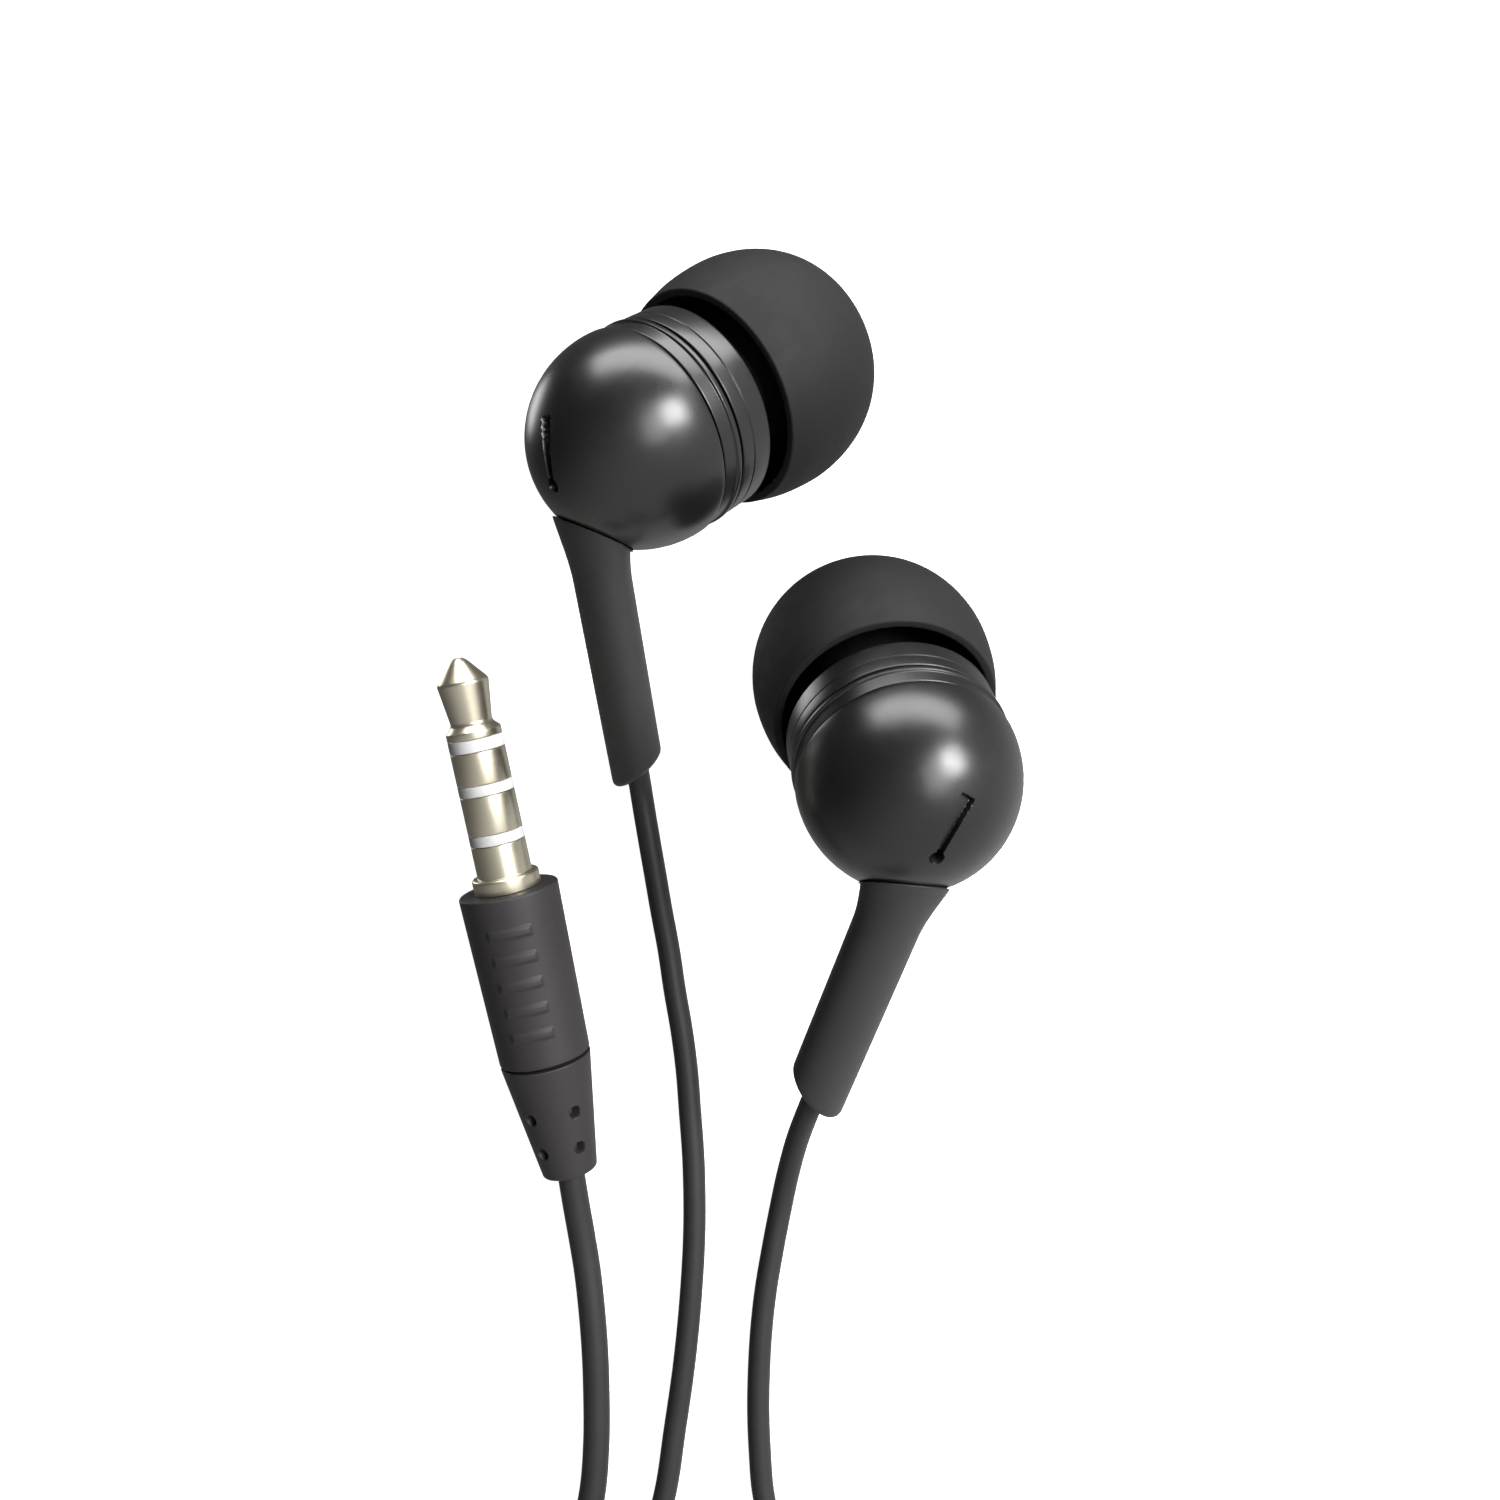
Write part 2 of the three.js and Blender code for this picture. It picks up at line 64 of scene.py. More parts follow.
def add_camera():
    """A camera above the table that looks straight down, +Y up in its picture."""
    data = bpy.data.cameras.new("camera")
    data.lens = FIELD
    data.sensor_width = FIELD
    data.clip_start = 5 * MM
    data.clip_end = 5.0
    camera = bpy.data.objects.new("camera", data)
    camera.location = (CAMERA_AT[0] * MM, CAMERA_AT[1] * MM, CAMERA_HEIGHT * MM)
    bpy.context.scene.collection.objects.link(camera)
    bpy.context.scene.camera = camera


add_camera()
bpy.context.scene.view_settings.view_transform = "Standard"


# ---------------------------------------------------------------- materials
def srgb(text, alpha=1.0):
    """A #rrggbb colour as linear light."""
    parts = [int(text[i : i + 2], 16) / 255 for i in (1, 3, 5)]
    return tuple(p / 12.92 if p <= 0.04045 else ((p + 0.055) / 1.055) ** 2.4 for p in parts) + (alpha,)


def new_material(name, **shader):
    """A material with one Principled shader, its sockets set directly."""
    material = bpy.data.materials.new(name)
    material.use_nodes = True
    tree = material.node_tree
    principled = tree.nodes["Principled BSDF"]
    for socket, value in shader.items():
        principled.inputs[socket.replace("_", " ")].default_value = value
    return material, tree, principled


def node(tree, kind, settings=None, **inputs):
    """Adds a node. settings are its own properties; inputs are values or sockets to link from."""
    made = tree.nodes.new(kind)
    for key, value in (settings or {}).items():
        setattr(made, key, value)
    for key, value in inputs.items():
        numbered = key[0] == "i" and key[1:].isdigit()
        socket = made.inputs[int(key[1:]) if numbered else key.replace("_", " ")]
        if isinstance(value, bpy.types.NodeSocket):
            tree.links.new(value, socket)
        else:
            socket.default_value = value
    return made


def colour_between(tree, factor, low, high):
    """A mix of two sRGB colours by a factor."""
    mix = node(tree, "ShaderNodeMix", {"data_type": "RGBA"}, i0=factor)
    mix.inputs[6].default_value = srgb(low)
    mix.inputs[7].default_value = srgb(high)
    return mix.outputs[2]


def moulded(name, low, high, roughness, spread, grain_mm, grain_depth, **shader):
    """A moulded plastic or rubber: cloudy colour, uneven gloss, and a fine grain in the surface."""
    material, tree, principled = new_material(name, **shader)
    place = node(tree, "ShaderNodeTexCoord").outputs["Object"]
    clouds = node(tree, "ShaderNodeTexNoise", Vector=place, Scale=1 / (6 * MM), Detail=3.0, Roughness=0.6)
    tree.links.new(colour_between(tree, clouds.outputs[0], low, high), principled.inputs["Base Color"])
    patches = node(tree, "ShaderNodeTexNoise", Vector=place, Scale=1 / (1.5 * MM), Detail=4.0, Roughness=0.7)
    gloss = node(tree, "ShaderNodeMapRange", Value=patches.outputs[0], i1=0.3, i2=0.7,
                 i3=roughness - spread, i4=roughness + spread)
    tree.links.new(gloss.outputs[0], principled.inputs["Roughness"])
    grain = node(tree, "ShaderNodeTexNoise", Vector=place, Scale=1 / (grain_mm * MM), Detail=2.0,
                 Roughness=0.5)
    bump = node(tree, "ShaderNodeBump", Strength=grain_depth, Distance=0.02 * MM, Height=grain.outputs[0])
    tree.links.new(bump.outputs[0], principled.inputs["Normal"])
    return material


# ABS, injection moulded in a polished tool: a soft broad gloss on black.
SHELL_ABS = moulded("moulded_black_abs", "#1b1b1c", "#202021", 0.3, 0.03, 0.35, 0.06, IOR=1.5)
# Silicone rubber, moulded in a matt tool: even black with no highlight.
TIP_SILICONE = moulded("matt_black_silicone", "#202021", "#252526", 0.7, 0.05, 0.25, 0.35, IOR=1.42,
                       Specular_IOR_Level=0.25)
# TPE, extruded over the wires: smooth and satin, softer than the shells.
CORD_TPE = moulded("extruded_black_tpe", "#2e2e2f", "#353536", 0.5, 0.05, 0.4, 0.25, IOR=1.48,
                   Specular_IOR_Level=0.35)
# TPE, injection moulded: stems and remote, satin grey-black with a faint grain.
STEM_TPE = moulded("moulded_black_tpe", "#3e3e3f", "#444445", 0.5, 0.05, 0.3, 0.3, IOR=1.48,
                   Specular_IOR_Level=0.35)
# TPE, injection moulded for the plug: a little duller and warmer than the stems.
BOOT_TPE = moulded("warm_black_tpe", "#353233", "#3c393a", 0.55, 0.05, 0.3, 0.35, IOR=1.48,
                   Specular_IOR_Level=0.35)
# Acetal, turned flush with the contacts: clean white rings.
ACETAL = moulded("white_acetal", "#fafaf9", "#ffffff", 0.35, 0.04, 0.4, 0.1, IOR=1.48)


def turned_metal(name, low, high, roughness):
    """A plated metal turned on a lathe: fine rings round the axis, read from the piece's own UV map."""
    material, tree, principled = new_material(name, Metallic=1.0)
    uv = node(tree, "ShaderNodeUVMap", {"uv_map": "surface"}).outputs[0]
    rings = node(tree, "ShaderNodeMapping", Vector=uv)
    rings.inputs["Scale"].default_value = (0.6, 14.0, 1.0)
    lines = node(tree, "ShaderNodeTexNoise", Vector=rings.outputs[0], Scale=6.0, Detail=3.0, Roughness=0.6)
    tree.links.new(colour_between(tree, lines.outputs[0], low, high), principled.inputs["Base Color"])
    gloss = node(tree, "ShaderNodeMapRange", Value=lines.outputs[0], i1=0.3, i2=0.7,
                 i3=roughness - 0.05, i4=roughness + 0.06)
    tree.links.new(gloss.outputs[0], principled.inputs["Roughness"])
    bump = node(tree, "ShaderNodeBump", Strength=0.2, Distance=0.01 * MM, Height=lines.outputs[0])
    tree.links.new(bump.outputs[0], principled.inputs["Normal"])
    return material


# Nickel over brass, turned and polished: warm, bright, with a soft edge to its reflections.
NICKEL = turned_metal("turned_nickel", "#b9b29d", "#cbc5b2", 0.33)


def sheet_metal(name, low, high, roughness):
    """Plated steel or copper inside the housing: blotchy plating."""
    material, tree, principled = new_material(name, Metallic=1.0)
    place = node(tree, "ShaderNodeTexCoord").outputs["Object"]
    clouds = node(tree, "ShaderNodeTexNoise", Vector=place, Scale=1 / (0.8 * MM), Detail=4.0)
    tree.links.new(colour_between(tree, clouds.outputs[0], low, high), principled.inputs["Base Color"])
    gloss = node(tree, "ShaderNodeMapRange", Value=clouds.outputs[0], i1=0.3, i2=0.7,
                 i3=roughness - 0.08, i4=roughness + 0.08)
    tree.links.new(gloss.outputs[0], principled.inputs["Roughness"])
    return material


# Steel, pressed and zinc plated: cloudy grey on the driver's plates, the magnet and the woven screen.
STEEL = sheet_metal("zinc_plated_steel", "#9a9a98", "#b9b9b6", 0.35)
# Copper wire under enamel: the red-brown band of the voice coil.
COPPER = sheet_metal("enamelled_copper", "#a8552c", "#c07040", 0.3)
# Polyester film, hot formed: the pale and slightly glossy diaphragm.
FILM = moulded("clear_polyester_film", "#b8b199", "#cbc5b0", 0.25, 0.05, 0.5, 0.1, IOR=1.57)
# Solder mask printed on glass-fibre board: satin green.
SOLDER_MASK = moulded("green_solder_mask", "#123a24", "#1b4d31", 0.4, 0.05, 0.4, 0.2, IOR=1.5)
# ABS, moulded matt: the dull black of the driver's frame.
FRAME_PLASTIC = moulded("black_driver_plastic", "#1b1b1c", "#242425", 0.55, 0.05, 0.3, 0.3, IOR=1.5)


# ---------------------------------------------------------------- mesh helpers
def piece_from_grid(name, rows, material, body, stands_for=(), closed_along=False, crease=35):
    """A closed skin over a grid of millimetre points. Each row goes once round the piece and meets itself.
    The rows run from pole to pole, or back to the first row with closed_along. Its UV map holds the
    share of a turn and the millimetres along the first column."""
    rows = np.asarray(rows, float)
    count, around = rows.shape[:2]
    index = np.arange(count * around).reshape(count, around)
    step = np.linalg.norm(np.diff(rows[:, 0], axis=0), axis=1)
    along = np.concatenate([[0], np.cumsum(step)])
    if closed_along:
        index = np.concatenate([index, index[:1]])
        along = np.append(along, along[-1] + np.linalg.norm(rows[-1, 0] - rows[0, 0]))
    top, low = index[:-1], index[1:]
    quads = np.stack([top, np.roll(top, -1, 1), np.roll(low, -1, 1), low], -1).reshape(-1, 4)
    turn = np.arange(around) / around
    u = np.stack([turn, turn + 1 / around, turn + 1 / around, turn], -1)
    u = np.broadcast_to(u[None], (len(top), around, 4))
    v = np.stack([along[:-1], along[:-1], along[1:], along[1:]], -1)
    v = np.broadcast_to(v[:, None], (len(top), around, 4))
    mesh = bpy.data.meshes.new(name)
    mesh.vertices.add(count * around)
    mesh.vertices.foreach_set("co", (rows * MM).astype(np.float32).ravel())
    mesh.loops.add(quads.size)
    mesh.loops.foreach_set("vertex_index", quads.ravel())
    mesh.polygons.add(len(quads))
    mesh.polygons.foreach_set("loop_start", np.arange(len(quads)) * 4)
    mesh.update(calc_edges=True)
    layer = mesh.uv_layers.new(name="surface")
    layer.data.foreach_set("uv", np.stack([u, v], -1).astype(np.float32).ravel())
    weld(mesh)
    return finish_piece(mesh, material, body, stands_for, crease)


def weld(mesh):
    """Merges the points that lie together, such as a row at a pole, and turns every face outwards."""
    work = bmesh.new()
    work.from_mesh(mesh)
    bmesh.ops.remove_doubles(work, verts=work.verts, dist=1e-7)
    bmesh.ops.dissolve_degenerate(work, edges=work.edges, dist=1e-8)
    bmesh.ops.recalc_face_normals(work, faces=work.faces)
    work.to_mesh(mesh)
    work.free()


def finish_piece(mesh, material, body, stands_for=(), crease=35):
    """Makes a mesh an object of the set: smooth but for its sharp edges, with its finish and its body."""
    mesh.polygons.foreach_set("use_smooth", np.ones(len(mesh.polygons), bool))
    mesh.set_sharp_from_angle(angle=math.radians(crease))
    mesh.materials.append(material)
    piece = bpy.data.objects.new(mesh.name, mesh)
    bpy.context.scene.collection.objects.link(piece)
    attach(piece, body)
    if stands_for:
        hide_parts(*stands_for)
    return piece


def rounded(corners, closed=False, steps=6):
    """A line of (along, radius, fillet) corners, each rounded by an arc that touches both its sides."""
    corners = np.array([corner if len(corner) == 3 else (*corner, 0.0) for corner in corners], float)
    made = []
    for k, (x, y, fillet) in enumerate(corners):
        here = np.array([x, y])
        if fillet <= 0 or (not closed and k in (0, len(corners) - 1)):
            made.append(here)
            continue
        back = corners[k - 1, :2] - here
        on = corners[(k + 1) % len(corners), :2] - here
        back_length, on_length = np.linalg.norm(back), np.linalg.norm(on)
        back, on = back / back_length, on / on_length
        half = math.acos(np.clip(back @ on, -1, 1)) / 2
        reach = min(fillet / math.tan(half), 0.49 * back_length, 0.49 * on_length)
        radius = reach * math.tan(half)
        middle = here + (back + on) / np.linalg.norm(back + on) * radius / math.sin(half)
        start, end = here + back * reach - middle, here + on * reach - middle
        sweep = math.atan2(start[0] * end[1] - start[1] * end[0], start @ end)
        angle = np.linspace(0, sweep, steps + 1)[:, None]
        turned = np.array([-start[1], start[0]])
        made.extend(middle + start * np.cos(angle) + turned * np.sin(angle))
    return np.array(made)


def spin(profile, sides=96, angles=None):
    """Turns a profile about +X: each (along, radius) point makes one ring of points."""
    profile = np.asarray(profile, float)
    if angles is None:
        angles = np.arange(sides) * 2 * math.pi / sides
    along, radius = profile[:, 0, None], profile[:, 1, None]
    return np.stack([along + 0 * angles, radius * np.cos(angles), radius * np.sin(angles)], -1)


def frame_at(origin, first, third):
    """A function that carries points from a piece's own axes into the set's. third is squared to first."""
    first = np.array(first, float) / np.linalg.norm(first)
    third = np.array(third, float) - first * (np.array(third) @ first)
    third /= np.linalg.norm(third)
    axes = np.stack([first, np.cross(third, first), third])
    return lambda points: np.asarray(origin) + np.asarray(points, float) @ axes


def middle_of(name):
    """The middle of a CAD node's box, in millimetres."""
    low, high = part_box(name)
    return (np.array(low) + np.array(high)) / 2 / MM


def soft_step(value):
    """0 below 0, 1 above 1, and a smooth S between."""
    value = np.clip(value, 0, 1)
    return value * value * (3 - 2 * value)


def smooth_line(points, step):
    """Centripetal Catmull-Rom through the points, then points an even step apart along it."""
    p = np.asarray(points, float)
    p = np.concatenate([[2 * p[0] - p[1]], p, [2 * p[-1] - p[-2]]])
    knots = np.concatenate([[0], np.cumsum(np.sqrt(np.linalg.norm(np.diff(p, axis=0), axis=1)))])
    u = np.linspace(0, 1, 12, endpoint=False)[None, :, None]
    t0, t1, t2, t3 = (knots[k : len(knots) - 3 + k, None, None] for k in range(4))
    p0, p1, p2, p3 = (p[k : len(p) - 3 + k, None, :] for k in range(4))
    t = t1 + (t2 - t1) * u
    a1 = (t1 - t) / (t1 - t0) * p0 + (t - t0) / (t1 - t0) * p1
    a2 = (t2 - t) / (t2 - t1) * p1 + (t - t1) / (t2 - t1) * p2
    a3 = (t3 - t) / (t3 - t2) * p2 + (t - t2) / (t3 - t2) * p3
    b1 = (t2 - t) / (t2 - t0) * a1 + (t - t0) / (t2 - t0) * a2
    b2 = (t3 - t) / (t3 - t1) * a2 + (t - t1) / (t3 - t1) * a3
    fine = ((t2 - t) / (t2 - t1) * b1 + (t - t1) / (t2 - t1) * b2).reshape(-1, p.shape[1])
    fine = np.concatenate([fine, p[-2:-1]])
    travelled = np.concatenate([[0], np.cumsum(np.linalg.norm(np.diff(fine, axis=0), axis=1))])
    wanted = np.linspace(0, travelled[-1], max(2, int(travelled[-1] / step)))
    return np.stack([np.interp(wanted, travelled, column) for column in fine.T], -1)


def catmull(points, count):
    """count points along a smooth curve through the given ones, evenly spaced."""
    line = smooth_line(points, 0.02)
    pick = np.linspace(0, len(line) - 1, count)
    return np.stack([np.interp(pick, np.arange(len(line)), column) for column in line.T], -1)


def carve(piece, cutter):
    """Cuts one mesh object out of another for good, and throws the cutter away."""
    cut = piece.modifiers.new("cut", "BOOLEAN")
    cut.operation = "DIFFERENCE"
    cut.solver = "EXACT"
    cut.object = cutter
    result = bpy.data.meshes.new_from_object(piece.evaluated_get(bpy.context.evaluated_depsgraph_get()))
    piece.modifiers.clear()
    piece.data = result
    result.set_sharp_from_angle(angle=math.radians(35))
    bpy.data.objects.remove(cutter)


# ---------------------------------------------------------------- cords
BRANCH_D = 1.5
TRUNK_D = 1.8

# Free stretches, point by point, as in the CAD source.
LEFT_CORD = [
    (-8.66, -5.76, 1.58), (-8.55, -6.6, 1.12), (-8.35, -8.0, 0.82), (-8.0, -10.1, 0.75),
    (-7.65, -12.1, 0.75), (-7.2, -14.7, 0.75), (-6.7, -17.4, 0.75), (-6.3, -20.1, 0.75),
    (-5.85, -22.7, 0.75), (-5.5, -25.4, 0.75), (-5.3, -28.0, 0.75), (-5.05, -31.6, 0.75),
    (-5.0, -36.0, 0.75), (-5.25, -40.6, 0.75), (-5.7, -45.1, 0.75), (-6.3, -49.3, 0.75),
    (-6.9, -53.3, 0.75), (-7.7, -56.1, 0.75), (-8.9, -58.2, 0.75),
]
LEFT_CORD_LOWER = [
    (-13.9, -74.8, 1.3), (-13.9, -78.5, 0.85), (-13.9, -84.0, 0.77), (-13.9, -90.0, 0.75),
    (-13.8, -95.0, 0.75), (-13.2, -99.3, 0.75), (-11.2, -102.6, 0.75), (-7.3, -104.6, 0.75),
    (-2.3, -105.0, 0.77), (1.7, -104.7, 0.78), (4.8, -105.5, 0.8), (6.7, -107.8, 1.4),
    (7.2, -110.8, 2.2),
]
RIGHT_CORD = [
    (2.73, -26.12, 5.53), (2.39, -27.2, 4.74), (2.06, -28.3, 3.93), (1.72, -29.6, 2.98),
    (1.42, -31.0, 2.05), (1.12, -32.5, 1.32), (0.78, -34.3, 0.88), (0.3, -36.8, 0.75),
    (-0.25, -40.0, 0.75), (-0.55, -42.7, 0.75), (-0.7, -45.3, 0.75), (-0.75, -48.0, 0.75),
    (-0.65, -50.7, 0.75), (-0.4, -53.6, 0.75), (0.4, -56.6, 0.75), (2.3, -59.3, 0.75),
    (4.9, -61.9, 0.75), (6.5, -64.9, 0.75), (7.3, -68.6, 0.75), (7.8, -73.1, 0.75),
    (8.6, -78.1, 0.75), (9.3, -84.4, 0.75),
]
RIGHT_CORD_LOWER = [
    (9.3, -97.2, 1.3), (9.3, -101.0, 0.85), (9.25, -105.0, 0.9), (9.2, -108.0, 1.5), (9.2, -110.8, 2.2),
]
TRUNK_CORD = [
    (-13.08, -31.97, 1.74), (-12.8, -34.0, 1.42), (-12.45, -36.3, 1.08), (-12.1, -38.6, 0.92),
    (-11.8, -41.3, 0.9), (-11.6, -43.9, 0.9), (-11.5, -46.6, 0.9), (-11.5, -50.0, 0.9),
    (-11.8, -53.6, 0.9), (-12.8, -57.6, 0.9), (-14.6, -62.2, 0.9), (-16.0, -67.1, 0.9),
    (-16.4, -74.1, 0.9), (-16.4, -84.1, 0.9), (-16.4, -94.1, 0.9), (-16.4, -104.1, 0.9),
    (-16.6, -114.1, 0.9), (-17.1, -124.1, 0.9), (-17.5, -131.1, 0.9), (-17.6, -137.4, 0.9),
]
TRUNK_CORD_UPPER = [(8.2, -137.4, 4.2), (8.2, -135.4, 3.3), (8.2, -133.4, 2.5), (8.2, -131.4, 2.2)]

# Each coil: middle, radius of the outermost turn, first and last angle in degrees (negative turns run
# clockwise), number of layers, distance between turns, and height of a layer.
COILS = {
    "left": {"at": (-4.4, -68.6), "radius": 9.5, "start": 158, "end": 180 + 5 * 360, "layers": 2,
             "pitch": 1.6, "low": 0.75, "layer": 1.55},
    "right": {"at": (-1.3, -90.8), "radius": 10.6, "start": 0, "end": -5 * 360, "layers": 2,
              "pitch": 1.6, "low": 0.75, "layer": 1.55},
    "trunk": {"at": (-4.7, -145.1), "radius": 12.9, "start": 180, "end": 180 + 11.5 * 360, "layers": 4,
              "pitch": 1.86, "low": 0.9, "layer": 1.82},
}
LAYER_STEP = 0.25  # turns in which the cord climbs to the next layer


def coil_turns(at, radius, start, end, layers, pitch, low, layer):
    """A cord wound in flat layers: the radius falls by one pitch a turn through one layer and grows
    again through the next, and between layers it stays while the height rises by a smooth step."""
    turns = abs(end - start) / 360
    in_layer = (turns - (layers - 1) * LAYER_STEP) / layers
    count = int(turns * 60)
    t = np.linspace(0, turns, count)
    span = in_layer + LAYER_STEP
    number = np.minimum((t // span).astype(int), layers - 1)
    within = t - number * span
    wound = np.minimum(within, in_layer)
    inward = np.where(number % 2 == 0, wound, in_layer - wound)
    climb = np.clip((within - in_layer) / LAYER_STEP, 0, 1)
    height = low + layer * (number + climb * climb * (3 - 2 * climb))
    angle = np.radians(start + (end - start) * t / turns)
    distance = radius - pitch * inward
    return np.stack([at[0] + distance * np.cos(angle), at[1] + distance * np.sin(angle), height], -1)


def cord_curve(name, points, diameter, nodes, buried=0.6):
    """One open spline of the cord's real length, a little of each end inside what holds it."""
    points = np.asarray(points, float)
    first = points[0] - points[1]
    last = points[-1] - points[-2]
    ends = [points[0] + first / np.linalg.norm(first) * buried,
            points[-1] + last / np.linalg.norm(last) * buried]
    line = smooth_line(np.concatenate([[ends[0]], points, [ends[1]]]), 0.5)
    data = bpy.data.curves.new(name, "CURVE")
    data.dimensions = "3D"
    data.bevel_depth = diameter / 2 * MM
    data.bevel_resolution = 5
    data.use_fill_caps = True
    data.twist_mode = "MINIMUM"
    spline = data.splines.new("POLY")
    spline.points.add(len(line) - 1)
    spline.points.foreach_set("co", np.concatenate([line * MM, np.ones((len(line), 1))], 1).ravel())
    spline.use_smooth = True
    data.materials.append(CORD_TPE)
    cord = bpy.data.objects.new(name, data)
    bpy.context.scene.collection.objects.link(cord)
    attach(cord, "set")
    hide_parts(*nodes)
    return cord


def add_cords():
    """Both branch cords run from a stem through a coil to the remote, and the trunk on to the plug."""
    left = [*LEFT_CORD, *coil_turns(**COILS["left"]), *LEFT_CORD_LOWER]
    right = [*RIGHT_CORD, *coil_turns(**COILS["right"]), *RIGHT_CORD_LOWER]
    trunk = [*TRUNK_CORD, *coil_turns(**COILS["trunk"]), *TRUNK_CORD_UPPER]
    cord_curve("left_branch_cord", left, BRANCH_D, ["left_cord", "left_coil", "left_cord_lower"])
    cord_curve("right_branch_cord", right, BRANCH_D, ["right_cord", "right_coil", "right_cord_lower"])
    cord_curve("trunk_cord_full", trunk[::-1], TRUNK_D, ["trunk_cord", "trunk_coil", "trunk_cord_upper"])


# ---------------------------------------------------------------- earbuds
# Own frame: +X along the nozzle to the ear tip, stem along -Z, groove in front of the trim ring at x = 0.
BAND_R = 6.4
HALF_GAP = 0.1  # half the gap between two shells
DOME_CENTRE = -0.31 * BAND_R
DOME_R = 1.015 * BAND_R
DOME_DEPTH = 1.07 * BAND_R
WALL = 0.9
REAR_SEAM = -0.23 * BAND_R
FRONT_EDGE = 0.39 * BAND_R
NOZZLE_R = 2.5
NOZZLE_BORE_R = 1.95
NOZZLE_END = 9.9
MESH_AT = 9.25
STEM_X = -1.03 * BAND_R
STEM_LENGTH = 22.0
STEM_HALF = (1.55, 2.05)  # along and across the nozzle
STEM_FLARE = (0.35, 0.8)  # added at the root
STEM_CUT = (0.415, 0.7)  # slope of the cut end
# The vent's middle line on the back of the dome, from its hole, as shares of the dome's radius.
VENT_LINE = np.array([(0.005, -0.01), (0.027, 0.168), (0.073, 0.36), (0.145, 0.532)])
VENT_HALF_WIDTH = (0.4, 0.14)  # at the channel's square end and where it meets the hole
VENT_CHANNEL_DEPTH = 0.36
VENT_HOLE_R = 0.38
VENT_HOLE_DEPTH = 0.78
VENT_LIP = 0.09
EARBUDS = {
    "left": {"stem": (0.08, -0.798, -0.597), "side": 1},
    "right": {"stem": (-0.25, -0.774, -0.582), "side": -1},
}


def on_dome(y, z):
    """The point of the dome seen from its centre at (y, z), both as shares of its radius."""
    y, z = np.asarray(y, float), np.asarray(z, float)
    return np.stack([DOME_CENTRE - DOME_DEPTH * np.sqrt(1 - y * y - z * z), y * DOME_R, z * DOME_R], -1)


def vent_depth(points, side):
    """How deep the vent is sunk at each point: a channel that narrows from its square end to a round hole.
    The depth falls off over a short lip, by the distance to the channel's middle line or to the hole."""
    line = catmull(VENT_LINE[::-1], 60)
    line = on_dome(line[:, 0] * side, line[:, 1])
    apart = np.linalg.norm(points[..., None, :] - line, axis=-1)
    half_width = np.linspace(*VENT_HALF_WIDTH, len(line))
    channel = VENT_CHANNEL_DEPTH * soft_step(((half_width - apart).max(-1) + VENT_LIP / 2) / VENT_LIP)
    overrun = (points - line[0]) @ (line[0] - line[2]) / np.linalg.norm(line[0] - line[2])
    channel *= soft_step((VENT_LIP / 2 - overrun) / VENT_LIP)
    hole = VENT_HOLE_DEPTH * soft_step((VENT_HOLE_R - apart[..., -1] + VENT_LIP / 2) / VENT_LIP)
    return np.maximum(channel, hole)


def rear_shell(name, side, place):
    """The dome: a half ellipsoid turned about the nozzle's axis, its rim rounded into the seam, its wall
    0.9 mm thick. Rows and columns crowd together at the vent, where the surface is pushed inwards."""
    edge = REAR_SEAM - HALF_GAP
    last = math.acos((DOME_CENTRE - (edge - 0.16)) / DOME_DEPTH)
    vent = math.radians(37)
    slope = np.concatenate([np.linspace(0, vent, 90)[:-1], np.linspace(vent, last, 42)])
    dome = np.stack([DOME_CENTRE - DOME_DEPTH * np.cos(slope), DOME_R * np.sin(slope)], -1)
    rim = rounded([dome[-2], (edge, DOME_R - 0.02, 0.16), (edge, DOME_R - WALL)], steps=5)[1:]
    inside = np.linspace(last, 0, 14)
    hollow = np.stack([DOME_CENTRE - (DOME_DEPTH - WALL) * np.cos(inside),
                       (DOME_R - WALL) * np.sin(inside)], -1)
    crowded = np.radians(np.concatenate([np.linspace(45, 115, 90, endpoint=False),
                                         np.linspace(115, 405, 80, endpoint=False)]))
    angles = crowded if side > 0 else math.pi - crowded
    rows = spin(np.concatenate([dome[:-1], rim, hollow]), angles=angles)
    shell = rows[: len(dome) - 1]
    outward = (shell - [DOME_CENTRE, 0, 0]) / [DOME_DEPTH**2, DOME_R**2, DOME_R**2]
    outward /= np.linalg.norm(outward, axis=-1, keepdims=True)
    rows[: len(dome) - 1] = shell - outward * vent_depth(shell, side)[..., None]
    piece_from_grid(f"{name}_dome", place(rows), SHELL_ABS, "set", [f"{name}_rear_shell"])


def trim_ring(name, place):
    """The narrow ring between dome and front housing, with a raised lip at its front edge."""
    back, front, inner = REAR_SEAM + HALF_GAP, -HALF_GAP, BAND_R - WALL
    profile = rounded([
        (back, inner), (back, 0.985 * BAND_R, 0.08), (-0.5, 0.988 * BAND_R, 0.05),
        (-0.44, 1.008 * BAND_R, 0.08), (front, 1.008 * BAND_R, 0.13), (front, inner),
    ], closed=True)
    piece_from_grid(f"{name}_trim", place(spin(profile, 128)), SHELL_ABS, "set",
                    [f"{name}_trim_ring"], closed_along=True)


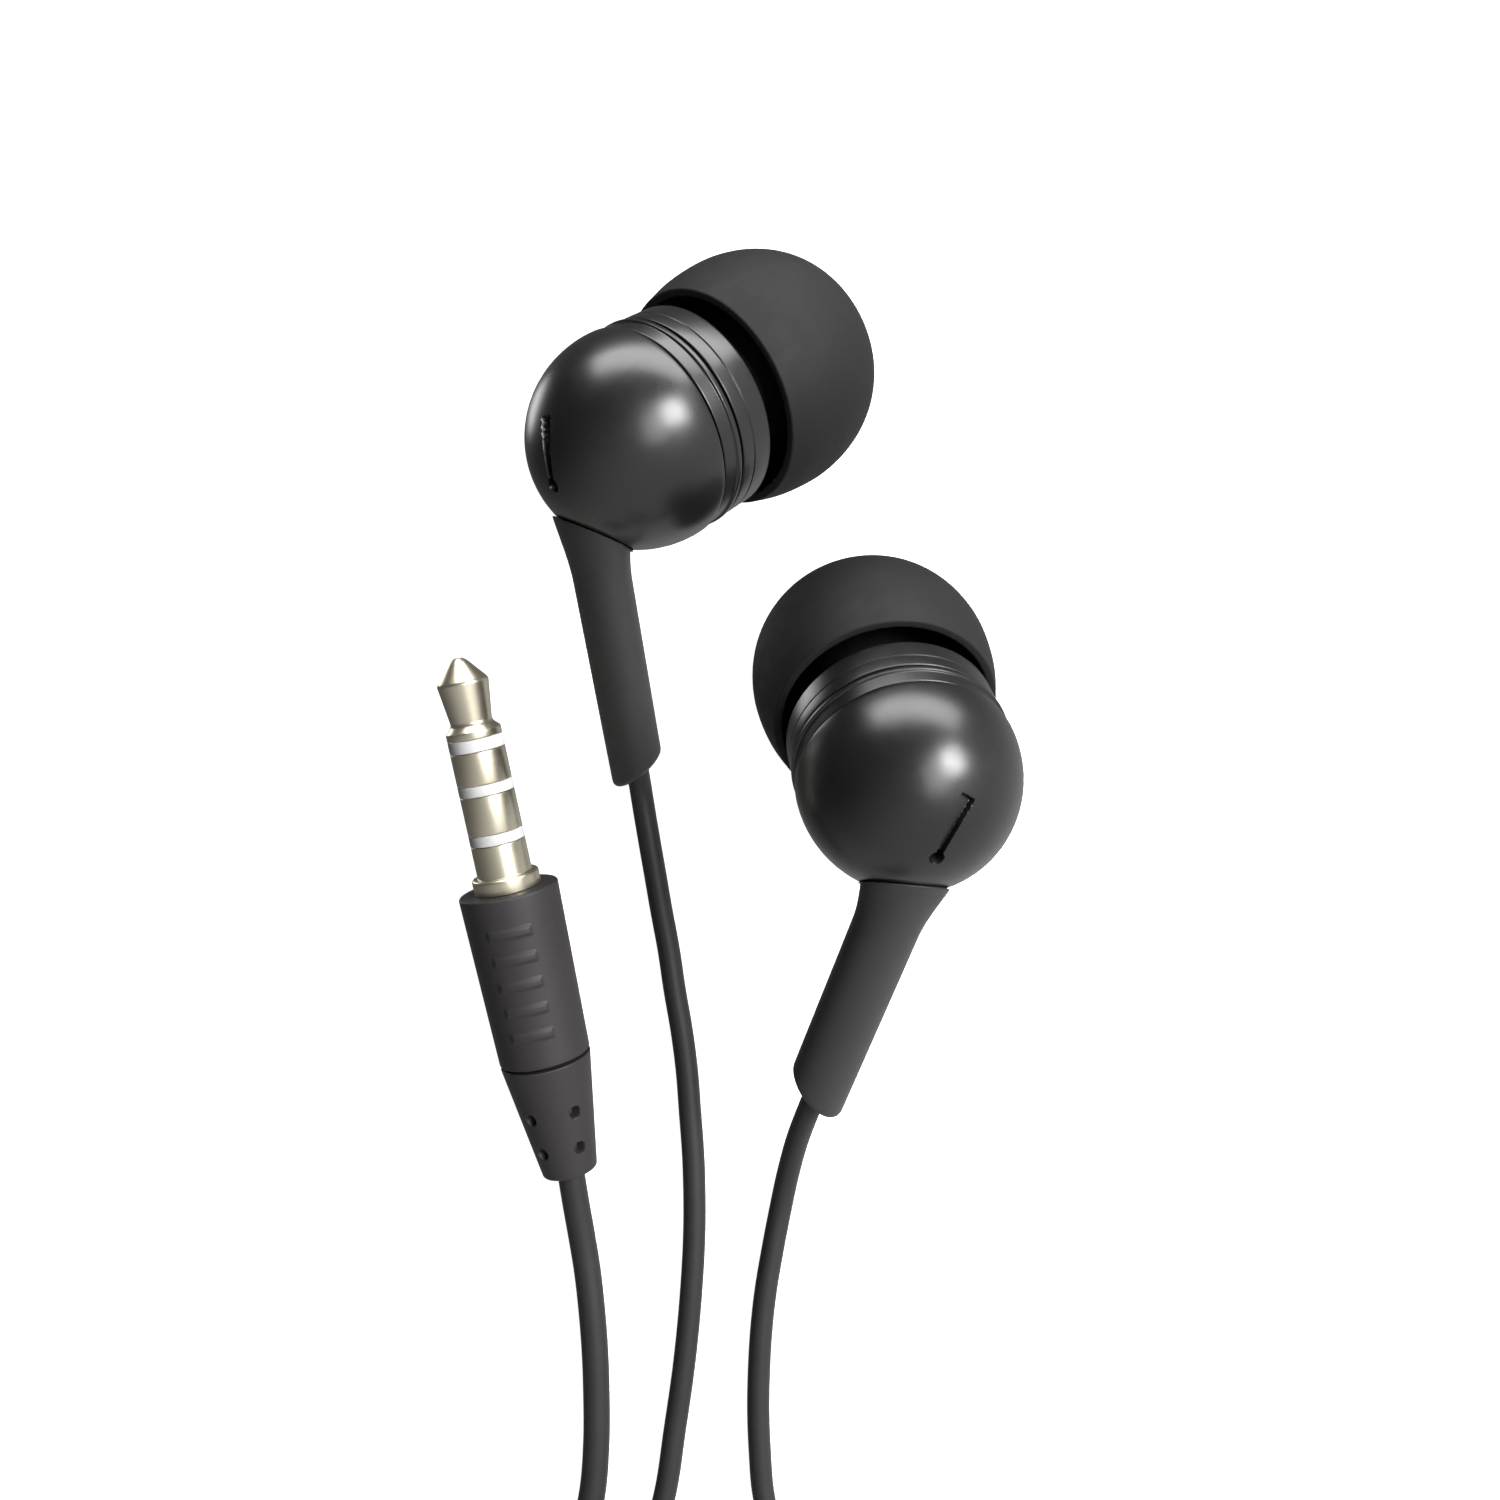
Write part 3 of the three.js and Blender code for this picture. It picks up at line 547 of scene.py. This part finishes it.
def front_housing(name, place):
    """The band in front of the groove, its shoulder, and the nozzle with the barb that holds the ear tip."""
    inner = BAND_R - WALL
    groove = 0.16 * BAND_R
    profile = rounded([
        (HALF_GAP, inner), (HALF_GAP, 0.995 * BAND_R, 0.08), (groove - 0.07, 0.993 * BAND_R, 0.02),
        (groove, 0.985 * BAND_R), (groove + 0.07, 0.992 * BAND_R, 0.02), (FRONT_EDGE, 0.985 * BAND_R, 0.3),
        (3.2, 4.3, 0.8), (3.7, NOZZLE_R, 0.5), (7.95, NOZZLE_R, 0.1), (8.2, 2.85, 0.12), (9.0, 2.85, 0.25),
        (NOZZLE_END, 2.4, 0.15), (NOZZLE_END, NOZZLE_BORE_R, 0.08), (2.9, NOZZLE_BORE_R), (2.0, 4.6),
        (1.6, inner),
    ], closed=True)
    piece_from_grid(f"{name}_front", place(spin(profile, 128)), SHELL_ABS, "set",
                    [f"{name}_front_housing"], closed_along=True)


def woven_mesh(name, place):
    """Round wires woven over and under each other in a disc: each wire is a ring of six points carried
    along a line whose height is a cosine wave with the spacing of the wires that it crosses."""
    spacing, wire, reach = 0.3, 0.055, NOZZLE_BORE_R - 0.15
    offsets = (np.arange(-5, 6)) * spacing
    angle = np.arange(6) * math.pi / 3
    made = []
    for row, offset in enumerate(offsets):
        half = math.sqrt(max(reach**2 - offset**2, 0.01))
        run = np.linspace(-half, half, 48)
        height = wire * np.cos(math.pi * (run / spacing + row))
        ring = np.stack([height[:, None] + wire * np.cos(angle),
                         offset + wire * np.sin(angle) + 0 * run[:, None],
                         run[:, None] + 0 * angle], -1)
        ends = ring[[0, -1]].mean(1, keepdims=True) + 0 * ring[[0, -1]]
        ring = np.concatenate([ends[:1], ring, ends[1:]])
        made.append(ring)
        made.append(ring[..., [0, 2, 1]] * [-1, 1, 1])
    meshes = []
    for number, ring in enumerate(made):
        ring = ring + [MESH_AT, 0, 0]
        meshes.append(piece_from_grid(f"{name}_wire_{number}", place(ring), STEEL, "set"))
    with bpy.context.temp_override(active_object=meshes[0], selected_editable_objects=meshes):
        bpy.ops.object.join()
    meshes[0].name = meshes[0].data.name = f"{name}_woven_screen"
    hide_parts(f"{name}_nozzle_mesh")


def ear_tip(name, place):
    """The silicone tip: a curve through the skirt's thin rim, its widest place, the round nose and the
    front hole, closed by the tube that grips the nozzle and the skirt's inner face, turned about the axis."""
    rim, widest, front = 0.6 * BAND_R, 1.2 * BAND_R, 2.2 * BAND_R
    rim_r, widest_r, nose_r = 1.06 * BAND_R, 1.16 * BAND_R, 2.6
    bore_r, hole_r, tube_r = 3.0, 2.2, 3.9
    nose = np.linspace(0, 0.94 * math.pi / 2, 9)[1:]
    nose = np.stack([widest + (front - widest) * np.sin(nose),
                     nose_r + (widest_r - nose_r) * np.cos(nose) ** 0.9], -1)
    outer = catmull([(rim, rim_r), (5.6, 1.13 * BAND_R), (widest, widest_r), *nose], 60)
    lips = rounded([
        outer[-1], (front, 2.55, 0.25), (front - 0.1, hole_r, 0.25), (10.6, hole_r), (10.3, bore_r),
        (4.6, bore_r, 0.15), (4.6, tube_r, 0.15), (11.4, tube_r, 0.3), (12.0, 4.6, 0.3),
    ], steps=5)[1:]
    inner = catmull([(12.0, 4.6), (11.2, 5.6), (9.6, 6.3), (widest, 6.6), (5.6, 6.5), (rim, rim_r - 0.5)], 30)
    edge = rounded([inner[-2], (rim, rim_r - 0.5, 0.2), (rim, rim_r, 0.2), outer[1]], steps=5)[1:-1]
    profile = np.concatenate([outer[1:], lips[:-1], inner[:-1], edge])
    piece_from_grid(f"{name}_silicone_tip", place(spin(profile, 144)), TIP_SILICONE, f"{name}_tip",
                    [f"{name}_ear_tip"], closed_along=True, crease=50)


def stem(name, side, place):
    """An oval rod. Its top follows the dome a hair's breadth outside it, its section shrinks over the first
    few millimetres by a cosine, and its end is cut on a slant and rounded over."""
    angle = np.arange(96) * 2 * math.pi / 96
    gap, root_edge, end_edge = 0.04, 0.1, 0.55
    bottom = -STEM_LENGTH
    neck = -4.0 + 0 * angle  # the root keeps the section of this height all over

    def section(height, share):
        """Points of the oval at a height, as a share of its half widths."""
        flare = 0.5 + 0.5 * np.cos(math.pi * np.clip((-height - 1.5) / 6, 0, 1))
        return [share * (half + grow * flare) * turn
                for half, grow, turn in zip(STEM_HALF, STEM_FLARE, (np.cos(angle), np.sin(angle)))]

    def dome_under(x, y):
        """Height of the dome's underside at a place, a gap further out."""
        reach = 1 - ((STEM_X + x - DOME_CENTRE) / (DOME_DEPTH + gap)) ** 2 - (y / (DOME_R + gap)) ** 2
        return -(DOME_R + gap) * np.sqrt(np.clip(reach, 0.01, 1))

    rows = []
    for share in (0.0, 0.3, 0.6, 0.8, 0.9, 0.96):
        x, y = section(neck, share)
        rows.append([x, y, dome_under(x, y)])
    for turn in np.linspace(0, math.pi / 2, 6)[:-1]:
        x, y = section(neck, 0.96 + 0.04 * math.sin(turn))
        rows.append([x, y, dome_under(x, y) - root_edge * (1 - math.cos(turn))])
    x, y = section(neck, 1.0)
    root = dome_under(x, y) - root_edge
    for part in np.linspace(0, 1, 64) ** 1.2:
        height = root + (bottom + end_edge - root) * part
        x, y = section(height, 1.0)
        rows.append([x, y, height])
    for turn in np.linspace(0, math.pi / 2, 8)[1:]:
        x, y = section(bottom + 0 * angle, 1.0)
        shrink = 1 - 0.28 * (1 - math.cos(turn))
        rows.append([x * shrink, y * shrink, bottom + end_edge - end_edge * math.sin(turn) + 0 * angle])
    for share in (0.62, 0.52, 0.51, 0.0):
        x, y = section(bottom + 0 * angle, share)
        rows.append([x, y, bottom + 0 * angle])
    rows = np.array(rows).transpose(0, 2, 1)
    down = np.clip((-1 - rows[..., 2]) / (STEM_LENGTH - 1), 0, 1)
    rows[..., 2] += (STEM_CUT[0] * rows[..., 0] - STEM_CUT[1] * rows[..., 1] * side) * down**3.45
    rows[..., 0] += STEM_X
    piece_from_grid(f"{name}_stem", place(rows), STEM_TPE, "set", [f"{name}_strain_relief"])


def add_earbud(name, stem_direction, side):
    """One earbud, in the frame that its own CAD pieces give."""
    axis = np.array(JOINTS[f"{name}_tip_pull"]["axis"], float)
    axis /= np.linalg.norm(axis)
    place = frame_at(middle_of(f"{name}_nozzle_mesh") - MESH_AT * axis, axis, -np.array(stem_direction))
    rear_shell(name, side, place)
    trim_ring(name, place)
    front_housing(name, place)
    woven_mesh(name, place)
    ear_tip(name, place)
    stem(name, side, place)


for earbud_name, settings in EARBUDS.items():
    add_earbud(earbud_name, settings["stem"], settings["side"])


# ---------------------------------------------------------------- jack plug
# Own frame: +X towards the jack's tip, the boot's front face at x = 0.
JACK_R = 1.75
BOOT_FRONT_R = 3.2
BOOT_BACK_R = 2.95
BOOT_LENGTH = 11.3
TAPER_START = -11.5
TAPER_LENGTH = 7.8
TAPER_END_R = 1.8
PLUG_HEADING = 10.96  # degrees, from +Y towards -X
PLUG_SEAM = (-14.6, -24.1)
SLEEVE_END = 3.1
JACK_BANDS = (0.7, 2.5, 0.7, 2.1, 0.8)  # white, nickel, white, nickel, white


def plug_frame():
    """The plug lies on its taper's lowest line, so its jack points slightly up."""
    tilt = math.atan((BOOT_BACK_R - TAPER_END_R) / TAPER_LENGTH)
    heading = math.radians(PLUG_HEADING)
    axis = np.array([-math.sin(heading) * math.cos(tilt), math.cos(heading) * math.cos(tilt), math.sin(tilt)])
    seam = np.array([*PLUG_SEAM, BOOT_BACK_R * math.cos(tilt)])
    return frame_at(seam - TAPER_START * axis, axis, (0, 0, 1))


def turned_part(name, corners, material, node_name, place):
    """One turned part of the plug, from pole to pole, with broken edges."""
    piece_from_grid(name, place(spin(rounded(corners), 96)), material, "set", [node_name])


def boot(place):
    """The plug's grip: a slightly tapered round body, its edges rounded, with five short low ribs across
    its upper side for the fingers. A rib's height is a smooth step of the distance from its edges."""
    body = rounded([(-BOOT_LENGTH, 0), (-BOOT_LENGTH, BOOT_BACK_R, 0.12), (0, BOOT_FRONT_R, 0.16), (0, 0)],
                   steps=10)
    fine = np.linspace(-BOOT_LENGTH + 0.3, -0.7, 130)
    side_wall = np.stack([fine, np.interp(fine, [-BOOT_LENGTH, 0], [BOOT_BACK_R, BOOT_FRONT_R])], -1)
    split = int(np.argmax(body[:, 0] > -BOOT_LENGTH + 0.3))
    rows = spin(np.concatenate([body[:split], side_wall, body[split:]]), 216)
    up = np.arctan2(rows[..., 1], rows[..., 2]) * BOOT_BACK_R  # millimetres round from the top line
    height = np.zeros(rows.shape[:2])
    for rib in range(5):
        middle = -BOOT_LENGTH / 2 + (rib - 2) * 1.7
        apart = np.maximum(np.abs(rows[..., 0] - middle) - 0.22, np.abs(up) - 1.25)
        height = np.maximum(height, 0.12 * soft_step((0.16 - apart) / 0.22))
    rows[..., 1:] *= (1 + height / BOOT_BACK_R)[..., None]
    piece_from_grid("plug_grip", place(rows), BOOT_TPE, "set", ["plug_boot"])


def taper(place):
    """The plug's strain relief: a cone with two rows of round relief holes sunk into it. A hole's depth is
    a smooth step of the distance from its middle, over the cone's surface."""
    end = TAPER_START - TAPER_LENGTH
    fine = np.linspace(end + 0.25, TAPER_START - 0.15, 120)
    radius = np.interp(fine, [end, TAPER_START], [TAPER_END_R, BOOT_BACK_R])
    start = rounded([(end, 0), (end, TAPER_END_R, 0.25), (fine[0], radius[0])], steps=5)[:-1]
    close = rounded([(fine[-1], radius[-1]), (TAPER_START, BOOT_BACK_R, 0.12), (TAPER_START, 0)], steps=5)[1:]
    rows = spin(np.concatenate([start, np.stack([fine, radius], -1), close]), 240)
    turn = np.arctan2(rows[..., 1], rows[..., 2])
    across = np.hypot(rows[..., 1], rows[..., 2])
    depth = np.zeros(rows.shape[:2])
    for below in (3.3, 5.8):
        for number in range(5):
            apart = turn - 2 * math.pi * (number + 0.5) / 5
            apart = (apart + math.pi) % (2 * math.pi) - math.pi
            distance = np.hypot(rows[..., 0] - (TAPER_START - below), apart * across)
            depth = np.maximum(depth, 0.7 * soft_step((0.42 - distance) / 0.13))
    keep = (across > 0.5 * TAPER_END_R) & (rows[..., 0] > end + 0.5)
    rows[..., 1:] *= (1 - np.where(keep, depth, 0) / np.maximum(across, 0.1))[..., None]
    piece_from_grid("plug_taper", place(rows), BOOT_TPE, "set", ["plug_strain_relief"])


def add_plug():
    """Sleeve, two rings and tip of nickel, kept apart by three white rings, in a rubber boot."""
    place = plug_frame()
    turned_part("plug_ground_sleeve", [(0.02, 0), (0.02, 2.15, 0.05), (1.0, 2.15, 0.18), (1.0, JACK_R, 0.06),
                (SLEEVE_END + 0.03, JACK_R, 0.06), (SLEEVE_END + 0.03, 0)], NICKEL,
                "plug_sleeve", place)
    start = SLEEVE_END
    for count, width in enumerate(JACK_BANDS):
        number = count // 2 + 1
        white = count % 2 == 0
        low, high = start + 0.06, start + width + 0.03
        edge = 0.03 if white else 0.07
        turned_part(f"plug_white_ring_{number}" if white else f"plug_contact_ring_{number}",
                    [(low, 0), (low, JACK_R, edge), (high, JACK_R, edge), (high, 0)],
                    ACETAL if white else NICKEL,
                    f"plug_insulator_{number}" if white else f"plug_ring_{number}", place)
        start += width
    ball = [(start + 0.06, 0), (start + 0.06, JACK_R, 0.05), (start + 0.5, JACK_R, 0.15),
            (start + 0.95, 1.3, 0.4), (13.5, 1.64, 0.35), (14.75, 0.6, 0.3), (15.0, 0.3, 0.15), (15.0, 0)]
    turned_part("plug_ball_tip", ball, NICKEL, "plug_tip", place)
    boot(place)
    taper(place)


add_plug()


# ---------------------------------------------------------------- remote
# It lies on its flat back and runs along Y.
REMOTE_LENGTH = 20.0
REMOTE_HALF_WIDTH = 3.0
REMOTE_HEIGHT = 4.4
REMOTE_CORNER = 2.2


def outline(half_x, half_y, corner, count=96):
    """A rectangle with round corners, as points spread round it: quarter arcs joined by straight sides."""
    turn = np.linspace(0, math.pi / 2, count // 4)
    arcs = []
    for quarter, (sx, sy) in enumerate([(1, 1), (-1, 1), (-1, -1), (1, -1)]):
        angle = turn + quarter * math.pi / 2
        arcs.append(np.stack([sx * (half_x - corner) + corner * np.cos(angle),
                              sy * (half_y - corner) + corner * np.sin(angle)], -1))
    return np.concatenate(arcs)


def stacked(levels):
    """Rows of a stack of rounded rectangles: each level is (half_x, half_y, corner, height)."""
    return np.stack([np.concatenate([outline(hx, hy, corner), np.full((96, 1), height)], 1)
                     for hx, hy, corner, height in levels])


def rolled(inset_height, half_x, half_y, corner):
    """Levels of one rounded rectangle that draws in by the inset at each height."""
    return [(half_x - inset, half_y - inset, max(corner - inset, 0.05), height)
            for inset, height in inset_height]


def add_remote():
    """A flat pebble of two shells with a long button in its upper shell and a pinhole for the microphone."""
    middle_low, middle_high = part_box("remote_back_shell")
    at = np.array([(middle_low[0] + middle_high[0]) / 2, (middle_low[1] + middle_high[1]) / 2, 0]) / MM
    half_x, half_y, corner, wall = REMOTE_HALF_WIDTH, REMOTE_LENGTH / 2, REMOTE_CORNER, 0.7
    middle = REMOTE_HEIGHT / 2
    inner = (half_x - wall, half_y - 1.6, 1.5)

    foot = rounded([(wall, 0.0), (0, 0, 0.55), (0, middle - 0.03, 0.06), (wall, middle - 0.03)], steps=6)
    levels = rolled(foot, half_x, half_y, corner)
    back = [(0.3, 0.3, 0.05, 0.0)] + levels + [(*inner, middle - 0.1), (*inner, wall), (0.3, 0.3, 0.05, wall)]
    rows = stacked([(0.001, 0.001, 0.0005, 0.0)] + back + [(0.001, 0.001, 0.0005, wall)])
    piece_from_grid("remote_lower_half", rows + at, STEM_TPE, "set", ["remote_back_shell"])

    brow = rounded([(wall, middle + 0.03), (0, middle + 0.03, 0.06), (0, REMOTE_HEIGHT, 0.9),
                    (1.2, REMOTE_HEIGHT)], steps=8)
    window = rounded([(-0.5, REMOTE_HEIGHT), (0, REMOTE_HEIGHT, 0.12), (0, REMOTE_HEIGHT - wall)], steps=4)
    levels = rolled(brow, half_x, half_y, corner) + [
        (1.5 - inset, 3.5 - inset, 1.2, height) for inset, height in window]
    levels += [(*inner, REMOTE_HEIGHT - wall), (*inner, middle + 0.1)]
    front = piece_from_grid("remote_upper_half", stacked(levels) + at, STEM_TPE, "set",
                            ["remote_front_shell"], closed_along=True)
    pin = rounded([(0, 0), (0, 0.32), (1.4, 0.32, 0.0), (1.4, 0)])
    upright = frame_at(at + [0, 6.3, 3.4], (0, 0, 1), (1, 0, 0))
    drill = piece_from_grid("microphone_drill", upright(spin(pin, 32)), STEM_TPE, "set")
    carve(front, drill)

    top = REMOTE_HEIGHT + 0.3
    cap = rounded([(1.0, top), (0, top, 0.3), (0, 3.5, 0.05), (-0.5, 3.5, 0.05), (-0.5, 3.0, 0.05),
                   (1.0, 3.0)], steps=5)
    levels = [(1.3 - inset, 3.3 - inset, max(1.1 - inset, 0.05), height) for inset, height in cap]
    rows = stacked([(0.001, 0.001, 0.0005, top)] + levels + [(0.001, 0.001, 0.0005, 3.0)])
    piece_from_grid("remote_press_button", rows + at, SHELL_ABS, "button", ["remote_button"])


add_remote()
add_cords()


# ---------------------------------------------------------------- CAD nodes that stay
STAYING = {
    "yoke": STEEL, "magnet": STEEL, "top_plate": STEEL, "voice_coil": COPPER, "diaphragm": FILM,
    "driver_frame": FRAME_PLASTIC, "terminal_board": SOLDER_MASK, "cord_knot": CORD_TPE,
    "circuit_board": SOLDER_MASK, "switch": STEEL, "microphone": STEEL,
}


def finish_staying_nodes():
    """Gives every CAD node that still shows the material of the real piece."""
    for name, piece in frame["nodes"].items():
        for ending, material in STAYING.items():
            if name.endswith(ending):
                piece.data.materials.clear()
                piece.data.materials.append(material)


finish_staying_nodes()


# ---------------------------------------------------------------- table and light
LIGHT_DISTANCE = 300


def add_floor():
    """A wide white table top. It glows at full white, so no shadow shows on it, and it neither lights the
    set from below nor shows in its gloss."""
    material, _, principled = new_material("white_table", Roughness=0.9)
    principled.inputs["Base Color"].default_value = srgb("#f4f4f4")
    principled.inputs["Emission Color"].default_value = (1, 1, 1, 1)
    principled.inputs["Emission Strength"].default_value = 1.0
    mesh = bpy.data.meshes.new("table")
    side = 3.0
    low = -0.1 * MM
    mesh.from_pydata([(-side, -side, low), (side, -side, low), (side, side, low), (-side, side, low)], [],
                     [(0, 1, 2, 3)])
    mesh.materials.append(material)
    floor = bpy.data.objects.new("table", mesh)
    floor.visible_glossy = False
    floor.visible_diffuse = False
    bpy.context.scene.collection.objects.link(floor)


def add_world():
    """White for the camera. As light and as a reflection the room is dark at the left and pale at the
    right and below, with one low bright patch at the left that gives the shells their rim light."""
    world = bpy.data.worlds.new("studio")
    bpy.context.scene.world = world
    world.use_nodes = True
    tree = world.node_tree
    tree.nodes.clear()
    path = node(tree, "ShaderNodeLightPath")
    ray = node(tree, "ShaderNodeNewGeometry")

    def brightness(direction, low, high, dark, bright):
        """Rises from dark to bright as the ray turns towards the direction."""
        back = tuple(-part for part in Vector(direction).normalized())
        toward = node(tree, "ShaderNodeVectorMath", {"operation": "DOT_PRODUCT"},
                      i0=ray.outputs["Incoming"], i1=back)
        return node(tree, "ShaderNodeMapRange", {"interpolation_type": "SMOOTHSTEP"},
                    Value=toward.outputs["Value"], i1=low, i2=high, i3=dark, i4=bright).outputs[0]

    side = brightness((0.6, -0.75, 0.15), -0.55, 0.75, 0.12, 0.9)
    patch = brightness((-0.69, 0.36, -0.63), 0.975, 0.997, 0.0, 5.0)
    both = node(tree, "ShaderNodeMath", {"operation": "ADD"}, i0=side, i1=patch)
    soft = node(tree, "ShaderNodeMath", {"operation": "MULTIPLY"}, i0=side, i1=0.15)
    room = node(tree, "ShaderNodeMix", {"data_type": "FLOAT"}, i0=path.outputs["Is Glossy Ray"],
                i2=soft.outputs[0], i3=both.outputs[0])
    shown = node(tree, "ShaderNodeMix", {"data_type": "FLOAT"}, i0=path.outputs["Is Camera Ray"],
                 i2=room.outputs[0], i3=1.0)
    light = node(tree, "ShaderNodeBackground", Color=(1, 1, 1, 1), Strength=shown.outputs[0])
    out = node(tree, "ShaderNodeOutputWorld")
    tree.links.new(light.outputs[0], out.inputs[0])


def softbox(name, direction, size, brightness, for_gloss=True, for_colour=True):
    """A rectangular area light that shines at the earbuds from the given direction. brightness is its
    radiance. for_gloss and for_colour say whether it shows in highlights and whether it lights surfaces."""
    data = bpy.data.lights.new(name, "AREA")
    data.shape = "RECTANGLE"
    data.size, data.size_y = size[0] * MM, size[1] * MM
    data.energy = brightness * math.pi * data.size * data.size_y
    lamp = bpy.data.objects.new(name, data)
    toward = Vector(direction).normalized()
    lamp.location = Vector((0, 0, 10 * MM)) + toward * LIGHT_DISTANCE * MM
    lamp.rotation_euler = toward.to_track_quat("Z", "Y").to_euler()
    lamp.visible_glossy = for_gloss
    lamp.visible_diffuse = for_colour
    bpy.context.scene.collection.objects.link(lamp)


add_floor()
add_world()
softbox("key_box", (0.6, 0.31, 0.73), (105, 105), 36, for_colour=False)
softbox("key_tail", (0.36, 0.07, 0.92), (150, 110), 6, for_colour=False)
softbox("top_strip", (0.08, 0.95, 0.26), (420, 150), 10, for_colour=False)
softbox("main_light", (0.66, 0.22, 0.72), (200, 200), 11, for_gloss=False)
softbox("top_light", (0.1, 0.9, 0.42), (300, 200), 0.7, for_gloss=False)
